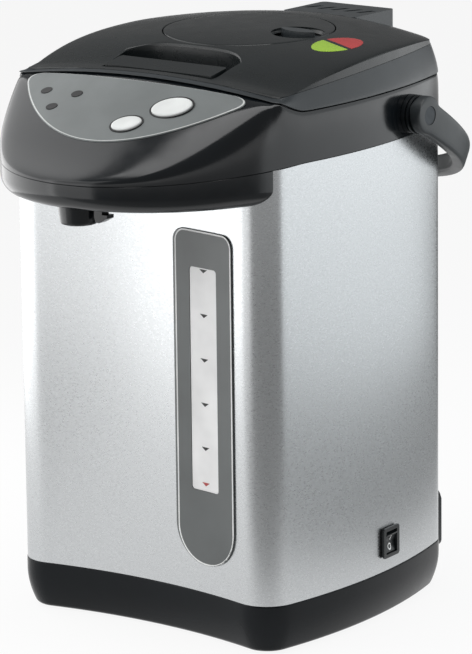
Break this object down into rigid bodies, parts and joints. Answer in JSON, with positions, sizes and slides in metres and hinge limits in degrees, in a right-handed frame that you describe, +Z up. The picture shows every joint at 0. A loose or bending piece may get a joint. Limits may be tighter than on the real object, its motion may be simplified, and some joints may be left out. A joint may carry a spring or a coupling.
{
  "type": "electric hot water urn",
  "caption": "Countertop electric hot water urn: brushed steel body, black beaked spout head, domed lid with push pump, bail handle and water gauge.",
  "frame": {"origin": "on the table, under the middle of the footprint, half way from the nose to the back of the hanging handle", "axes": "+Z up out of the pot; the front with the spout faces -Y; +X to the right of someone looking at the front"},
  "size_m": [0.2204, 0.2911, 0.3352],
  "materials": {
    "black_gloss": "gloss",
    "lid_black": "satin",
    "lid_grey": "satin",
    "dark_plastic": "satin",
    "panel_grey": "satin",
    "pale_plastic": "satin",
    "frosted_window": "satin",
    "brushed_wrap": "brushed",
    "pot_steel": "satin",
    "screw_steel": "satin",
    "heater_alloy": "satin",
    "brass": "satin",
    "silicone": "matte",
    "rubber": "matte",
    "clear_glass": "clear",
    "lens": "gloss",
    "board": "satin"
  },
  "bodies": {
    "frame_body": {"base_moulding": "black_gloss", "bottom_cover": "dark_plastic", "rubber_feet": "rubber", "base_screws": "screw_steel", "steel_wrap": "brushed_wrap", "inner_frame": "dark_plastic", "inner_pot": "pot_steel", "pot_gasket": "silicone", "boil_heater": "heater_alloy", "keep_warm_band": "heater_alloy", "thermostat": "pale_plastic", "dry_boil_cutout": "dark_plastic", "thermal_fuse": "pale_plastic", "pump_housing": "pale_plastic", "pump_motor": "screw_steel", "inlet_hose": "silicone", "delivery_hose": "silicone", "gauge_tube": "clear_glass", "outlet_hose": "silicone", "gauge_panel": "panel_grey", "gauge_window": "frosted_window", "top_housing": "black_gloss", "spout_cover": "black_gloss", "spout_nozzle": "black_gloss", "nozzle_clip": "black_gloss", "control_panel": "panel_grey", "indicator_lenses": "lens", "control_board": "board", "power_board": "board", "mains_inlet": "dark_plastic", "switch_bezel": "dark_plastic", "handle_boss_left": "dark_plastic", "handle_boss_right": "dark_plastic", "handle_pins": "screw_steel", "hinge_bracket": "dark_plastic", "hinge_pin": "screw_steel"},
    "lid": {"lid_hinge_leaf": "dark_plastic", "lid_body": "lid_grey", "lid_cover": "lid_black", "lid_liner": "pot_steel", "liner_screws": "screw_steel", "lid_gasket": "silicone", "vent_box": "lid_grey", "steam_valve": "silicone", "air_bellows": "rubber", "bellows_spring": "screw_steel", "lever_pin": "screw_steel", "lever_spring": "screw_steel"},
    "bail": {"bail_handle": "dark_plastic"},
    "plate": {"pump_plate": "lid_black"},
    "dial": {"lock_dial": "lid_grey"},
    "lever": {"release_lever": "lid_black"},
    "bolt": {"latch_bolt": "dark_plastic"},
    "rocker": {"rocker_switch": "dark_plastic"},
    "dispense": {"dispense_button": "pale_plastic"},
    "reboil": {"reboil_button": "pale_plastic"},
    "rotor": {"pump_rotor": "brass"}
  },
  "joints": [
    {"name": "lid_hinge", "type": "hinge", "parent": "frame_body", "child": "lid", "pos_m": [0, 0.1158, 0.3055], "axis": [-1, 0, 0], "range_deg": [0, 75]},
    {"name": "handle_swing", "type": "hinge", "parent": "frame_body", "child": "bail", "pos_m": [0, 0.0522, 0.29], "axis": [-1, 0, 0], "range_deg": [-122, 0]},
    {"name": "pump_slide", "type": "slide", "parent": "lid", "child": "plate", "axis": [0, 0, -1], "range_m": [0, 0.016], "stiffness_N_per_m": 400, "springref_m": -0.01, "deforming": ["air_bellows", "bellows_spring"]},
    {"name": "lock_turn", "type": "hinge", "parent": "plate", "child": "dial", "pos_m": [0.0345, 0.0297, 0.328], "axis": [0, 0, 1], "range_deg": [0, 60]},
    {"name": "lever_lift", "type": "hinge", "parent": "lid", "child": "lever", "pos_m": [0, -0.0513, 0.3176], "axis": [1, 0, 0], "range_deg": [0, 21], "stiffness_Nm_per_rad": 0.05, "springref_deg": -17.19},
    {"name": "bolt_slide", "type": "slide", "parent": "lid", "child": "bolt", "axis": [0, 1, 0], "range_m": [0, 0.0034]},
    {"name": "power_rocker", "type": "hinge", "parent": "frame_body", "child": "rocker", "pos_m": [0.09611, 0.02625, 0.0458], "axis": [0.0819, -0.9966, 0], "range_deg": [0, 16]},
    {"name": "dispense_press", "type": "slide", "parent": "frame_body", "child": "dispense", "axis": [-0.0473, 0.545, -0.8371], "range_m": [0, 0.0008], "stiffness_N_per_m": 500, "springref_m": -0.001},
    {"name": "reboil_press", "type": "slide", "parent": "frame_body", "child": "reboil", "axis": [-0.0221, 0.5454, -0.8379], "range_m": [0, 0.0008], "stiffness_N_per_m": 500, "springref_m": -0.001},
    {"name": "rotor_spin", "type": "hinge", "parent": "frame_body", "child": "rotor", "pos_m": [-0.024, -0.0388, 0.028], "axis": [0, 0, 1], "continuous": true}
  ],
  "couplings": [
    {"joint": "lever_lift", "follows": "bolt_slide", "rad_per_m": 100}
  ]
}
